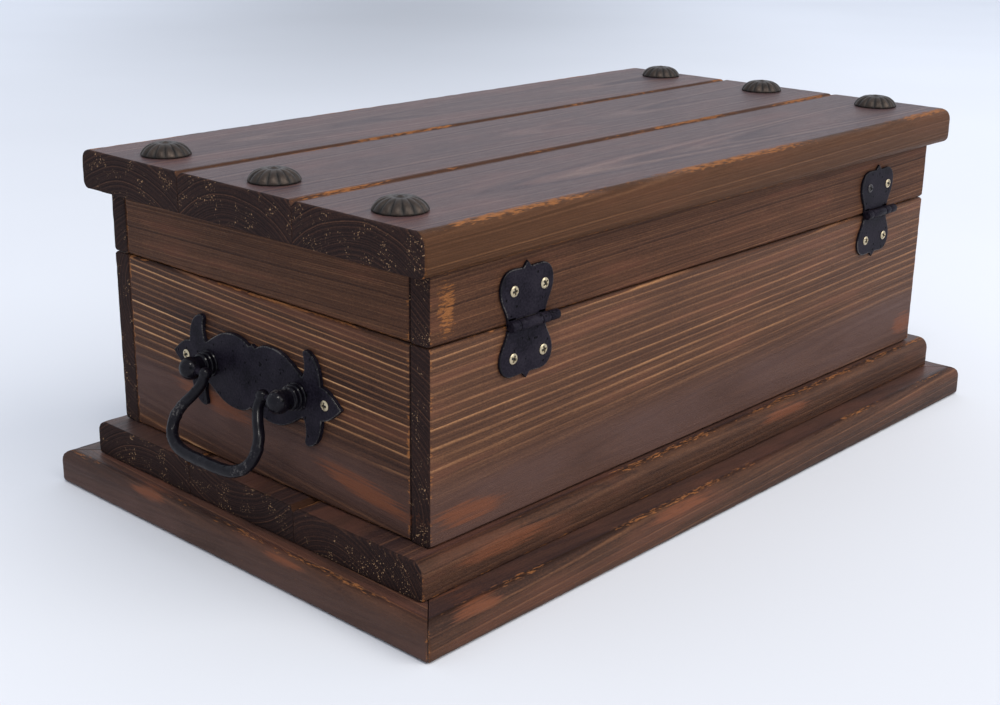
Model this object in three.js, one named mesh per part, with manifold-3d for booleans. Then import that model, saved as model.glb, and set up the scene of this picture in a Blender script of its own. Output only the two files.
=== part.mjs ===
// A small wooden chest: mitred plinth, board floor, four plain walls, a shallow box lid on two
// surface hinges, and a cast bail handle on each end. Millimetres, +Z up, +Y is the hinged back.
// The origin is the centre of the plinth's underside. "right" is the +X end, "left" the -X end.
import * as THREE from "three";
import { mergeVertices } from "three/addons/utils/BufferGeometryUtils.js";
import Module from "manifold-3d";

const wasm = await Module();
wasm.setup();

// ---------- driving dimensions ----------
const bodyLength = 422;
const bodyDepth = 230;
const wallThickness = 12;
const wallHeight = 92;
const lidRailHeight = 33;
const plinthThickness = 18;
const floorThickness = 18;
const lidThickness = 20;
const plinthReach = { x: 26, y: 25 }; // how far each course stands out past the walls
const floorReach = { x: 13, y: 8 };
const lidReach = { x: 11, y: 8 };
const plinthRailWidth = 46;
const fit = 0.3; // gap between pieces that touch
const lidGap = 0.6; // gap between the closed lid and the walls

const edgeRadius = 6; // rounded long edges of the boards
const endRadius = 1.2; // much smaller rounding where the boards were sawn off
const easedEdge = 1.2; // small chamfer on the wall and rail edges
const grooveDepth = 2.2; // chamfer each side of the grooves between boards

const nail = { radius: 12.6, rim: 2.2, height: 6.6, shankRadius: 1.2, shankLength: 16 };
const screw = { headRadius: 2.55, headHeight: 0.9, shankRadius: 1.1, length: 9 };
const hinge = {
  x: 152, leafThickness: 1.2, knuckleRadius: 2.5, pinRadius: 1.1, neck: 12.4,
  middle: 7.3, pinHead: 6.3, screwX: 10, screwShift: -1.2, screwZ: 15.5,
  lidReach: 28, bodyReach: 26.4, // from the pin to the leaf's point
};
const handle = { y: -2, z: 86.7, plateThickness: 2, standOff: 13.6, postY: 33, screwY: 51.8 };
const bail = { radius: 3, pinRadius: 1.6, elbow: 21.6, beadRadius: 3.3, rest: 29 };
const post = { ball: 5.7, stem: 4.9, rings: [6.8, 6.5, 6], ringPitch: 2.2, ringWidth: 1.4, tenon: 1.9 };

// ---------- levels that follow from them ----------
const floorBottom = plinthThickness + fit;
const floorTop = plinthThickness + floorThickness;
const wallBottom = floorTop + fit;
const seam = floorTop + wallHeight; // middle of the gap under the lid
const wallTop = seam - lidGap / 2;
const railBottom = seam + lidGap / 2;
const railTop = seam + lidRailHeight;
const lidBottom = railTop + fit;
const lidTop = railTop + lidThickness;
const backFace = bodyDepth / 2;
const endFace = bodyLength / 2;
const hingeAxis = { y: backFace + fit + hinge.knuckleRadius, z: seam };

// ---------- materials ----------
const finishes = {
  walls: { color: 0x4a2c20, roughness: 0.55, metalness: 0 },
  lidBoards: { color: 0x43302c, roughness: 0.42, metalness: 0 },
  floorBoards: { color: 0x3d2820, roughness: 0.55, metalness: 0 },
  plinth: { color: 0x46302a, roughness: 0.5, metalness: 0 },
  iron: { color: 0x1d1e24, roughness: 0.45, metalness: 0.8 },
  nailHead: { color: 0x5a4c40, roughness: 0.5, metalness: 0.85 },
  screwHead: { color: 0xb9a878, roughness: 0.35, metalness: 1 },
};

function named(name, geometry, finish) {
  const mesh = new THREE.Mesh(geometry, new THREE.MeshStandardMaterial(finishes[finish]));
  mesh.name = name;
  return mesh;
}

// ---------- solids ----------
function toSolid(geometry) {
  const bare = geometry.clone();
  for (const name of ["normal", "uv"]) bare.deleteAttribute(name);
  const merged = mergeVertices(bare, 1e-4);
  const vertProperties = new Float32Array(merged.attributes.position.array);
  const triVerts = new Uint32Array(merged.index.array);
  return new wasm.Manifold(new wasm.Mesh({ numProp: 3, vertProperties, triVerts }));
}

function toGeometry(solid) {
  const mesh = solid.getMesh();
  const geometry = new THREE.BufferGeometry();
  geometry.setAttribute("position", new THREE.BufferAttribute(new Float32Array(mesh.vertProperties), 3));
  geometry.setIndex(new THREE.BufferAttribute(new Uint32Array(mesh.triVerts), 1));
  geometry.computeVertexNormals();
  return geometry;
}

function joined(...geometries) {
  return toGeometry(geometries.map(toSolid).reduce((whole, piece) => whole.add(piece)));
}

function cut(geometry, ...tools) {
  return toGeometry(tools.map(toSolid).reduce((whole, tool) => whole.subtract(tool), toSolid(geometry)));
}

function overlapOf(first, second) {
  return toGeometry(toSolid(first).intersect(toSolid(second)));
}

// A shape drawn in a plane and pushed straight through, with its depth centred on zero.
function slab(shape, depth, curveSegments = 6) {
  const geometry = new THREE.ExtrudeGeometry(shape, { depth, bevelEnabled: false, curveSegments });
  return geometry.translate(0, 0, -depth / 2);
}

// Cylinder of a given length, from its start point along one axis.
function rod(radius, length, axis, start, segments = 10) {
  const geometry = new THREE.CylinderGeometry(radius, radius, length, segments);
  geometry.translate(0, length / 2, 0);
  if (axis === "x") geometry.rotateZ(-Math.PI / 2);
  if (axis === "z") geometry.rotateX(Math.PI / 2);
  return geometry.translate(...start);
}

const square = { size: 0, steps: 1 };
const round = (size) => ({ size, steps: 5 });
const chamfer = (size) => ({ size, steps: 1 });

// Section of a board: width across and height up, with its corners listed from the low left one,
// going round by the low right and the top right to the top left.
function section(left, right, low, top, corners) {
  const places = [[left, low, 1, 1], [right, low, -1, 1], [right, top, -1, -1], [left, top, 1, -1]];
  const points = places.flatMap(([x, y, inX, inY], i) => {
    const { size, steps } = corners[i];
    if (size === 0) return [new THREE.Vector2(x, y)];
    return Array.from({ length: steps + 1 }, (_, k) => {
      const angle = Math.PI + (i + k / steps) * Math.PI / 2;
      return new THREE.Vector2(x + size * (inX + Math.cos(angle)), y + size * (inY + Math.sin(angle)));
    });
  });
  return new THREE.Shape(points);
}

// A board along X whose long edges and ends have their own sections.
function board(across, along) {
  const length = slab(across, bodyLength * 2).rotateY(Math.PI / 2).rotateX(Math.PI / 2);
  const width = slab(along, bodyDepth * 2).rotateX(Math.PI / 2);
  return overlapOf(length, width);
}

// ---------- plinth ----------
function plinthRail(length, faceDistance) {
  const inner = faceDistance - plinthRailWidth;
  const profile = section(inner, faceDistance, 0, plinthThickness,
    [square, round(2.5), round(edgeRadius), square]);
  const geometry = slab(profile, length).rotateY(Math.PI / 2).rotateX(Math.PI / 2);
  const position = geometry.attributes.position;
  for (let i = 0; i < position.count; i++) {
    // mitre: the ends lean in at 45 degrees, from the outer face to the inner one
    const inset = faceDistance - position.getY(i) + fit / 2;
    position.setX(i, Math.sign(position.getX(i)) * (length / 2 - inset));
  }
  return geometry;
}

function makePlinth() {
  const group = new THREE.Group();
  const reachX = endFace + plinthReach.x;
  const reachY = backFace + plinthReach.y;
  const sides = [
    ["plinth_back", 2 * reachX, reachY, 0], ["plinth_front", 2 * reachX, reachY, 2],
    ["plinth_left_end", 2 * reachY, reachX, 1], ["plinth_right_end", 2 * reachY, reachX, 3],
  ];
  for (const [name, length, faceDistance, quarterTurns] of sides) {
    const rail = named(name, plinthRail(length, faceDistance), "plinth");
    rail.rotation.z = quarterTurns * Math.PI / 2;
    group.add(rail);
  }
  return group;
}

// ---------- boards of the floor and the lid ----------
const rows = ["front", "middle", "back"];

function boardRow(prefix, seams, reach, low, top, lowEdge, topEdge, finish, holesFor) {
  const half = { x: endFace + reach.x, y: backFace + reach.y };
  const edges = [-half.y, ...seams, half.y];
  const sawn = round(endRadius);
  const along = section(-half.x, half.x, low, top, [square, square, sawn, sawn]);
  const last = rows.length - 1;
  return rows.map((row, i) => {
    const front = edges[i] + (i === 0 ? 0 : fit / 2);
    const back = edges[i + 1] - (i === last ? 0 : fit / 2);
    const frontEdge = i === 0 ? [lowEdge, topEdge] : [square, chamfer(grooveDepth)];
    const backEdge = i === last ? [lowEdge, topEdge] : [square, chamfer(grooveDepth)];
    const across = section(front, back, low, top, [frontEdge[0], backEdge[0], backEdge[1], frontEdge[1]]);
    const holes = holesFor(row);
    const whole = board(across, along);
    return named(`${prefix}_${row}`, holes.length ? cut(whole, ...holes) : whole, finish);
  });
}

const floorSeams = [-42, 38];
const lidSeams = [-42, 41];
const nailPlaces = { // set by eye, so no two are quite in line
  right: { front: [200.4, -80.2], middle: [201, 4.1], back: [200.1, 86.4] },
  left: { front: [-203, -81.4], middle: [-199, 2.2], back: [-198.8, 84.1] },
};

function makeFloor() {
  const group = new THREE.Group();
  group.add(...boardRow("floor_board", floorSeams, floorReach, floorBottom, floorTop, square,
    round(edgeRadius), "floorBoards", () => []));
  return group;
}

function makeLidBoards() {
  const group = new THREE.Group();
  const holes = (row) => Object.values(nailPlaces).map((end) => rod(nail.shankRadius + fit,
    nail.shankLength + fit, "z", [...end[row], lidTop - nail.shankLength - fit]));
  group.add(...boardRow("lid_board", lidSeams, lidReach, lidBottom, lidTop, round(4), round(edgeRadius),
    "lidBoards", holes));
  return group;
}

// ---------- domed nails ----------
// A steep rim that swells over into a full, nearly flat crown.
function makeNail(name) {
  const crownSteps = 7;
  const fullness = 0.72; // below 1 the shoulder stands further out than a circle's
  const profile = [
    new THREE.Vector2(0, -nail.shankLength),
    new THREE.Vector2(nail.shankRadius, -nail.shankLength + 2.5),
    new THREE.Vector2(nail.shankRadius, fit),
    new THREE.Vector2(nail.radius - 0.4, fit),
  ];
  for (let i = 0; i <= crownSteps; i++) {
    const angle = i / crownSteps * Math.PI / 2;
    const radius = i === crownSteps ? 0 : nail.radius * Math.cos(angle) ** fullness;
    const height = nail.rim + (nail.height - nail.rim) * Math.sin(angle);
    profile.push(new THREE.Vector2(radius, fit + height));
  }
  return named(name, new THREE.LatheGeometry(profile, 20).rotateX(Math.PI / 2), "nailHead");
}

function makeNails() {
  const group = new THREE.Group();
  for (const [end, places] of Object.entries(nailPlaces)) {
    for (const row of rows) {
      const head = makeNail(`lid_nail_${end}_${row}`);
      head.position.set(...places[row], lidTop);
      group.add(head);
    }
  }
  return group;
}

// ---------- walls and lid rails ----------
// Long sides run the full length and the ends stand between them. seats: holes to leave for screws.
function frame(prefix, low, top, finish, seats) {
  const group = new THREE.Group();
  const inside = backFace - wallThickness - fit;
  const eased = chamfer(easedEdge);
  for (const [name, side] of [["back", 1], ["front", -1]]) {
    const across = section(backFace - wallThickness, backFace, low, top, [square, eased, eased, square]);
    const along = section(-endFace, endFace, low - 1, top + 1, Array(4).fill(square));
    let geometry = board(across, along);
    if (side === 1) geometry = cut(geometry, ...seats.back);
    else geometry.rotateZ(Math.PI);
    group.add(named(`${prefix}_${name}`, geometry, finish));
  }
  for (const [name, side] of [["right_end", 1], ["left_end", -1]]) {
    const profile = section(endFace - wallThickness, endFace, low, top, [square, eased, eased, square]);
    let geometry = slab(profile, 2 * inside).rotateX(Math.PI / 2);
    if (side === -1) geometry.rotateZ(Math.PI);
    if (seats.ends) geometry = cut(geometry, ...seats.ends(side));
    group.add(named(`${prefix}_${name}`, geometry, finish));
  }
  return group;
}

const hingeEnds = [["right", hinge.x], ["left", -hinge.x]];
const screwPlaces = [["right", 1], ["left", -1]];
const screwAt = (x, side) => x + hinge.screwShift + side * hinge.screwX;

function hingeScrewSeats(level) {
  const places = hingeEnds.flatMap(([, x]) => screwPlaces.map(([, side]) => screwAt(x, side)));
  return places.map((x) => rod(screw.shankRadius + fit, screw.length + fit, "y",
    [x, backFace - screw.length - fit / 2, seam + level * hinge.screwZ]));
}

function handleScrewSeats(side) {
  return [-1, 1].map((place) => {
    const start = side * (endFace + fit / 2);
    const y = handle.y + place * handle.screwY;
    return rod(screw.shankRadius + fit, screw.length + fit, "x", [start, y, handle.z])
      .translate(side > 0 ? -screw.length - fit : 0, 0, 0);
  });
}

function makeWalls() {
  return frame("wall", wallBottom, wallTop, "walls", { back: hingeScrewSeats(-1), ends: handleScrewSeats });
}

function makeLidRails() {
  return frame("lid_rail", railBottom, railTop, "walls", { back: hingeScrewSeats(1) });
}

// ---------- wood screw: domed head, point down its own -Z ----------
function screwGeometry() {
  const tip = 2.5;
  return new THREE.LatheGeometry([
    new THREE.Vector2(0, -screw.length),
    new THREE.Vector2(screw.shankRadius, -screw.length + tip),
    new THREE.Vector2(screw.shankRadius, 0),
    new THREE.Vector2(screw.headRadius, 0),
    new THREE.Vector2(screw.headRadius * 0.82, screw.headHeight * 0.65),
    new THREE.Vector2(screw.headRadius * 0.42, screw.headHeight * 0.95),
    new THREE.Vector2(0, screw.headHeight),
  ], 12).rotateX(Math.PI / 2);
}

// ---------- hinges ----------
// Outline of a leaf above the pin: a waisted plate that ends in two lobes and a small point.
function leafOutline(reach) {
  const low = hinge.knuckleRadius + 0.5;
  const lobes = [
    [14, 8.2, 17.6, 11.6, 17.4, 17.2], [17.2, 22.4, 13.9, 25.5, 9.2, 25.5], [6.2, 25.5, 3.2, 25, 2.4, 25.2],
  ];
  const point = 28;
  const stretched = (z) => low + (z - low) * (reach - low) / (point - low);
  const shape = new THREE.Shape();
  shape.moveTo(-hinge.neck, low);
  shape.lineTo(hinge.neck, low);
  const right = lobes.map((curve) => curve.map((value, i) => (i % 2 ? stretched(value) : value)));
  for (const curve of right) shape.bezierCurveTo(...curve);
  shape.lineTo(0, reach);
  const [shoulder, lobe, tuck] = right;
  shape.lineTo(-tuck[4], tuck[5]);
  shape.bezierCurveTo(-tuck[2], tuck[3], -tuck[0], tuck[1], -lobe[4], lobe[5]);
  shape.bezierCurveTo(-lobe[2], lobe[3], -lobe[0], lobe[1], -shoulder[4], shoulder[5]);
  shape.bezierCurveTo(-shoulder[2], shoulder[3], -shoulder[0], shoulder[1], -hinge.neck, low);
  return shape;
}

// Leaf in its own frame: pin along X at the origin, plate standing up on the wood side (-Y).
function leafGeometry(knuckles, length, shift) {
  const back = -hinge.knuckleRadius;
  const plate = slab(leafOutline(length), hinge.leafThickness, 5).rotateX(Math.PI / 2)
    .translate(0, back + hinge.leafThickness / 2, 0);
  const reach = hinge.knuckleRadius + 1;
  const pieces = knuckles.flatMap(([start, end]) => [
    rod(hinge.knuckleRadius, end - start, "x", [start, 0, 0], 16),
    new THREE.BoxGeometry(end - start, hinge.leafThickness, reach)
      .translate((start + end) / 2, back + hinge.leafThickness / 2, reach / 2),
  ]);
  const holes = [-1, 1].map((side) => rod(screw.shankRadius + fit, 4, "y",
    [shift + side * hinge.screwX, back - 1, hinge.screwZ]));
  const bore = rod(hinge.pinRadius + fit, 60, "x", [-30, 0, 0], 12);
  return cut(joined(plate, ...pieces), bore, ...holes);
}

function pinGeometry() {
  const start = -hinge.neck - fit;
  const buried = 1;
  const shaft = rod(hinge.pinRadius, 2 * hinge.neck + fit + buried, "x", [start - buried, 0, 0], 12);
  const head = rod(hinge.knuckleRadius, hinge.pinHead, "x", [start - hinge.pinHead, 0, 0], 16);
  return joined(shaft, head);
}

function makeHingeHalf(end, x, half) {
  const group = new THREE.Group();
  const outer = [[hinge.middle, hinge.neck], [-hinge.neck, -hinge.middle]];
  const inner = [[-hinge.middle + fit, hinge.middle - fit]];
  const onLid = half === "lid";
  const up = onLid ? 1 : -1; // the body's leaf is the same one turned over, so its holes shift the other way
  const leaf = onLid ? leafGeometry(outer, hinge.lidReach, hinge.screwShift)
    : leafGeometry(inner, hinge.bodyReach, -hinge.screwShift).rotateY(Math.PI);
  const plate = named(`hinge_${end}_${half}_leaf`, leaf, "iron");
  plate.position.set(x, hingeAxis.y, hingeAxis.z);
  group.add(plate);
  for (const [place, side] of screwPlaces) {
    const head = named(`hinge_${end}_${half}_screw_${place}`, screwGeometry(), "screwHead");
    head.rotation.x = -Math.PI / 2;
    const seat = backFace + 2 * fit + hinge.leafThickness;
    head.position.set(screwAt(x, side), seat, seam + up * hinge.screwZ);
    group.add(head);
  }
  return group;
}

function makePin(end, x) {
  const pin = named(`hinge_${end}_pin`, pinGeometry(), "iron");
  pin.position.set(x, hingeAxis.y, hingeAxis.z);
  return pin;
}

// ---------- handles ----------
// Backplate outline: two scalloped edges, four horns and two pointed ends.
function plateOutline() {
  const quarter = [
    ["line", 0, 17.2], ["line", 2.6, 15.6],
    ["curve", 7, 19.2, 14, 19.5, 20, 18.3], ["curve", 26, 16.9, 31, 12.8, 36, 9.9],
    ["curve", 38.4, 12.5, 38.2, 17.5, 37, 21.2], ["curve", 36.7, 23.2, 39, 23.9, 41, 23],
    ["curve", 45.5, 21.4, 48.6, 16.5, 48.9, 8.2], ["curve", 53.5, 8.2, 57.8, 4.4, 62.6, 0],
  ];
  const shape = new THREE.Shape();
  const mirrored = [[1, 1], [1, -1], [-1, -1], [-1, 1]];
  mirrored.forEach(([sx, sy], i) => {
    const forward = sx * sy > 0;
    if (i === 0) shape.moveTo(0, quarter[0][2]);
    const steps = forward ? quarter.slice(1) : [...quarter].reverse();
    steps.forEach((step, k) => {
      if (forward) {
        const values = step.slice(1).map((value, n) => value * (n % 2 ? sy : sx));
        if (step[0] === "line") shape.lineTo(...values); else shape.bezierCurveTo(...values);
      } else {
        const previous = steps[k + 1];
        if (!previous) return;
        const end = [previous.at(-2) * sx, previous.at(-1) * sy];
        if (step[0] === "line") shape.lineTo(...end);
        else shape.bezierCurveTo(step[3] * sx, step[4] * sy, step[1] * sx, step[2] * sy, ...end);
      }
    });
  });
  return shape;
}

// In the handle's own frame X points out of the chest, Y along its end and the origin is the
// middle of the bail's axis; the wood is at x = -standOff.
function plateGeometry() {
  const face = -handle.standOff + fit;
  const plate = slab(plateOutline(), handle.plateThickness, 4).rotateX(Math.PI / 2).rotateZ(Math.PI / 2)
    .translate(face + handle.plateThickness / 2, 0, 0);
  const holes = [-1, 1].flatMap((side) => [
    rod(screw.shankRadius + fit, 6, "x", [face - 2, side * handle.screwY, 0]),
    rod(post.tenon + fit, 6, "x", [face - 2, side * handle.postY, 0], 12),
  ]);
  return cut(plate, ...holes);
}

// Post: tenon through the plate, a stack of rings and a ball drilled for the bail's pin.
function postGeometry(side) {
  const foot = -handle.standOff + 2 * fit + handle.plateThickness;
  const eased = 0.4;
  const profile = [[0, foot - handle.plateThickness], [post.tenon, foot - handle.plateThickness],
    [post.tenon, foot]];
  post.rings.forEach((radius, i) => {
    const low = foot + i * post.ringPitch;
    const high = low + post.ringWidth;
    profile.push([radius - eased, low], [radius, low + eased], [radius, high - eased],
      [radius - eased, high], [post.stem, high + eased / 2]);
  });
  const shoulder = Math.asin(post.stem / post.ball);
  const ballSteps = 7;
  for (let i = 0; i <= ballSteps; i++) {
    const angle = Math.PI - shoulder - (Math.PI - shoulder) * i / ballSteps;
    const radius = i === ballSteps ? 0 : post.ball * Math.sin(angle);
    profile.push([radius, post.ball * Math.cos(angle)]);
  }
  const points = profile.map(([radius, along]) => new THREE.Vector2(radius, along));
  const body = new THREE.LatheGeometry(points, 18).rotateZ(-Math.PI / 2);
  const depth = post.ball + 1;
  const hole = rod(bail.pinRadius + fit, depth, "y", [0, -depth, 0], 12);
  if (side < 0) hole.rotateZ(Math.PI);
  return cut(body, hole);
}

// Bail in its own plane: Y across, Z down, pins along Y at the origin's height.
function bailGeometry() {
  const half = [
    [bail.elbow, 0], [21.6, -5.5], [24.8, -11.9], [29.4, -18.6], [31, -25.8],
    [28.5, -32.4], [21.8, -36.7], [11.5, -38.3], [0, -38.4],
  ];
  const route = [...half, ...half.slice(0, -1).reverse().map(([y, z]) => [-y, z])];
  const path = new THREE.CatmullRomCurve3(route.map(([y, z]) => new THREE.Vector3(0, y, z)), false,
    "centripetal");
  const circle = new THREE.Shape().absarc(0, 0, bail.radius, 0, Math.PI * 2, false);
  const loop = new THREE.ExtrudeGeometry(circle, {
    steps: 44, extrudePath: path, bevelEnabled: false, curveSegments: 6,
  });
  const pieces = [-1, 1].flatMap((side) => {
    const reach = handle.postY - bail.elbow - 1.2;
    const pin = rod(bail.pinRadius, reach, "y", [0, bail.elbow, 0], 12);
    if (side < 0) pin.rotateZ(Math.PI);
    const bead = new THREE.SphereGeometry(bail.beadRadius, 12, 8).translate(0, side * bail.elbow, 0);
    return [pin, bead];
  });
  return joined(loop, ...pieces);
}

function makeHandle(end) {
  const group = new THREE.Group();
  group.add(named(`handle_${end}_plate`, plateGeometry(), "iron"));
  const ends = end === "right" ? [["back", 1], ["front", -1]] : [["front", 1], ["back", -1]];
  for (const [place, side] of ends) {
    const support = named(`handle_${end}_post_${place}`, postGeometry(side), "iron");
    support.position.y = side * handle.postY;
    const fixing = named(`handle_${end}_screw_${place}`, screwGeometry(), "screwHead");
    fixing.rotation.y = Math.PI / 2;
    const seat = -handle.standOff + 2 * fit + handle.plateThickness;
    fixing.position.set(seat, side * handle.screwY, 0);
    group.add(support, fixing);
  }
  const loop = named(`handle_${end}_bail`, bailGeometry(), "iron");
  loop.rotation.y = -THREE.MathUtils.degToRad(bail.rest);
  group.add(loop);
  group.position.set((end === "right" ? 1 : -1) * (endFace + handle.standOff), handle.y, handle.z);
  if (end === "left") group.rotation.z = Math.PI;
  return group;
}

// ---------- the chest ----------
const chest = new THREE.Group();
const lid = new THREE.Group();
lid.add(makeLidRails(), makeLidBoards(), makeNails());
chest.add(makePlinth(), makeFloor(), makeWalls(), lid, makeHandle("right"), makeHandle("left"));
for (const [end, x] of hingeEnds) {
  lid.add(makeHingeHalf(end, x, "lid"));
  chest.add(makeHingeHalf(end, x, "body"), makePin(end, x));
}

export default chest;
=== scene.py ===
import math

import bpy
import numpy as np
from mathutils import Matrix, Vector, noise


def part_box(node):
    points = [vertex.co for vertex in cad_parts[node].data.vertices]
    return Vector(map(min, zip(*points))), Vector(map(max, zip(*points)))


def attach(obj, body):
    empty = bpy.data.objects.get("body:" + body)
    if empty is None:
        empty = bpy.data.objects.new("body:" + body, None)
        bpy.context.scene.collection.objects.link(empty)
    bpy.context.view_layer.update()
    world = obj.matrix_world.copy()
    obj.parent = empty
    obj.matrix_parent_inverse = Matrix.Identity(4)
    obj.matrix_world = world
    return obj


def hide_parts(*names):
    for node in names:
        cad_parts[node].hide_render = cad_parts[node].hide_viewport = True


mm = 0.001
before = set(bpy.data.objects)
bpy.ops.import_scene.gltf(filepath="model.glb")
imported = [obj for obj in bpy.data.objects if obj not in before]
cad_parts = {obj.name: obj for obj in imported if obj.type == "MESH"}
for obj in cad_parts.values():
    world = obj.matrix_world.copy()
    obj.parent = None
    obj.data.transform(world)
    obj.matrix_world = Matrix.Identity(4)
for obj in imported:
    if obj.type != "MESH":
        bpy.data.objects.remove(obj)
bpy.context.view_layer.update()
print("frame loaded:", len(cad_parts), "solids")


# One output of a material's nodes. Sums written with it add Math nodes.
class Link:
    def __init__(self, tree, socket=None):
        self.tree = tree
        self.socket = socket

    def node(self, kind, settings=None, inputs=None, out=0):
        made = self.tree.nodes.new(kind)
        for name, value in (settings or {}).items():
            if name == "stops":
                ramp = made.color_ramp
                while len(ramp.elements) < len(value):
                    ramp.elements.new(0.5)
                for element, (place, colour) in zip(ramp.elements, value):
                    element.position = place
                    element.color = (*colour, 1)
            else:
                setattr(made, name, value)
        for name, value in (inputs or {}).items():
            if isinstance(value, Link):
                self.tree.links.new(value.socket, made.inputs[name])
            else:
                made.inputs[name].default_value = value
        return Link(self.tree, made.outputs[out])

    def maths(self, operation, *values):
        return self.node("ShaderNodeMath", {"operation": operation}, dict(enumerate(values)))

    def __add__(self, other):
        return self.maths("ADD", self, other)

    def __radd__(self, other):
        return self.maths("ADD", other, self)

    def __sub__(self, other):
        return self.maths("SUBTRACT", self, other)

    def __rsub__(self, other):
        return self.maths("SUBTRACT", other, self)

    def __mul__(self, other):
        return self.maths("MULTIPLY", self, other)

    def __rmul__(self, other):
        return self.maths("MULTIPLY", other, self)

    def __truediv__(self, other):
        return self.maths("DIVIDE", self, other)

    def __pow__(self, other):
        return self.maths("POWER", self, other)

    def rise(self, start, end):  # 0 before start, 1 after end, smooth between
        settings = {"interpolation_type": "SMOOTHSTEP"}
        return self.node("ShaderNodeMapRange", settings, {0: self, 1: start, 2: end, 3: 0.0, 4: 1.0})

    def parts(self):  # the three numbers of a vector
        split = self.node("ShaderNodeSeparateXYZ", {}, {0: self})
        return [Link(self.tree, output) for output in split.socket.node.outputs]

    def stretched(self, x, y, z):
        inputs = {0: self, 1: (1 / x, 1 / y, 1 / z)}
        return self.node("ShaderNodeVectorMath", {"operation": "MULTIPLY"}, inputs)

    def shifted(self, x, y, z):
        return self.node("ShaderNodeVectorMath", {"operation": "ADD"}, {0: self, 1: (x, y, z)})

    def dot(self, x, y, z):
        inputs = {0: self, 1: (x, y, z)}
        return self.node("ShaderNodeVectorMath", {"operation": "DOT_PRODUCT"}, inputs, "Value")

    def speckle(self, detail=2.0, roughness=0.5):
        inputs = {"Vector": self, "Scale": 1.0, "Detail": detail, "Roughness": roughness}
        return self.node("ShaderNodeTexNoise", {}, inputs)

    def layers(self, detail):  # noise along a single number, about 0
        inputs = {"W": self, "Scale": 1.0, "Detail": detail}
        return self.node("ShaderNodeTexNoise", {"noise_dimensions": "1D"}, inputs) - 0.5

    def mixed(self, colour, amount):
        full = (*colour, 1) if isinstance(colour, tuple) else colour
        return self.node("ShaderNodeMix", {"data_type": "RGBA"}, {0: amount, 6: self, 7: full}, 2)

    def ramp(self, stops):
        return self.node("ShaderNodeValToRGB", {"stops": stops}, {"Fac": self})

    def bumped(self, strength, distance):
        inputs = {"Strength": strength, "Distance": distance, "Height": self}
        return self.node("ShaderNodeBump", {}, inputs)


def newFinish(name, constants):
    material = bpy.data.materials.new(name)
    material.use_nodes = True
    shader = material.node_tree.nodes["Principled BSDF"]
    for socket, value in constants.items():
        shader.inputs[socket].default_value = value
    return material, Link(material.node_tree), shader


def wire(nodes, shader, **links):
    for name, link in links.items():
        nodes.tree.links.new(link.socket, shader.inputs[name.replace("_", " ")])


def fieldOf(nodes, name, output="Fac"):  # a value that the piece's own points carry
    return nodes.node("ShaderNodeAttribute", {"attribute_name": name}, {}, output)


def onPiece(nodes):
    return nodes.node("ShaderNodeTexCoord", {}, {}, "Object")


# Timber. ringGap: growth ring spacing, mm. wander: how far the rings stray, mm. lines: strength of
# the pale late wood. fine: faint lines between them. bands: how much groups of rings differ. rub:
# width of the rubbed edges, mm. worn: how much they have rubbed through. paintedSkyTint: how strong
# a painted reflection is on top, a violet tint standing in for the sky's sheen. sides: how brown it
# is on the edges. shine: gloss of the sides, sheen: of the top.
timberLooks = {
    "wall_timber": {
        "ringGap": 3.3, "wander": 5, "lines": 0.36, "fine": 0.18, "tone": 0.402, "fibre": 0.16, "bands": 0.08,
        "rub": 1.2, "worn": 0.55, "paintedSkyTint": 0.0, "sides": 0.0, "shine": 0.14, "sheen": 0.1, "roughness": 0.50},
    "end_timber": {
        "ringGap": 2.7, "wander": 4, "lines": 0.72, "fine": 0.22, "tone": 0.325, "fibre": 0.18, "bands": 0.08,
        "rub": 1.4, "worn": 0.75, "paintedSkyTint": 0.0, "sides": 0.0, "shine": 0.10, "sheen": 0.1, "roughness": 0.52},
    "rail_timber": {
        "ringGap": 1.7, "wander": 6, "lines": 0.12, "fine": 0.28, "tone": 0.375, "fibre": 0.20, "bands": 0.12,
        "rub": 1.2, "worn": 0.55, "paintedSkyTint": 0.0, "sides": 0.0, "shine": 0.08, "sheen": 0.1, "roughness": 0.55},
    "lid_timber": {
        "ringGap": 2.4, "wander": 5, "lines": 0.16, "fine": 0.52, "tone": 0.335, "fibre": 0.42, "bands": 0.06,
        "rub": 2.8, "worn": 0.66, "paintedSkyTint": 0.36, "sides": 0.6, "shine": 0.1, "sheen": 0.28, "roughness": 0.45},
    "floor_timber": {
        "ringGap": 2.8, "wander": 5, "lines": 0.26, "fine": 0.16, "tone": 0.290, "fibre": 0.24, "bands": 0.16,
        "rub": 1.6, "worn": 0.50, "paintedSkyTint": 0.1, "sides": 0.1, "shine": 0.14, "sheen": 0.40, "roughness": 0.50},
    "plinth_timber": {
        "ringGap": 2.9, "wander": 5, "lines": 0.22, "fine": 0.18, "tone": 0.300, "fibre": 0.26, "bands": 0.16,
        "rub": 1.6, "worn": 0.50, "paintedSkyTint": 0.1, "sides": 0.1, "shine": 0.14, "sheen": 0.40, "roughness": 0.48},
}
sawnShine = 0.07  # gloss of the cut ends
topRoughness = 0.36  # of the sheen on top
stainRamp = [
    (0.00, (0.006, 0.0035, 0.0030)),
    (0.22, (0.026, 0.0115, 0.0085)),
    (0.42, (0.084, 0.0360, 0.0188)),
    (0.62, (0.192, 0.0890, 0.0410)),
    (0.82, (0.375, 0.1880, 0.0830)),
    (1.00, (0.560, 0.3300, 0.1700)),
]
# the violet colour is a painted reflection, laid on top faces for the sky's sheen
stainColours = {
    "red": (0.120, 0.042, 0.026), "smooth": (0.086, 0.048, 0.042), "paintedSkyTint": (0.090, 0.062, 0.080),
    "sides": (0.072, 0.028, 0.008), "endGrain": (0.024, 0.016, 0.017), "groove": (0.052, 0.022, 0.012),
    "ember": (0.165, 0.054, 0.024), "bare": (0.34, 0.130, 0.040), "fleck": (0.46, 0.28, 0.15),
}


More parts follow.
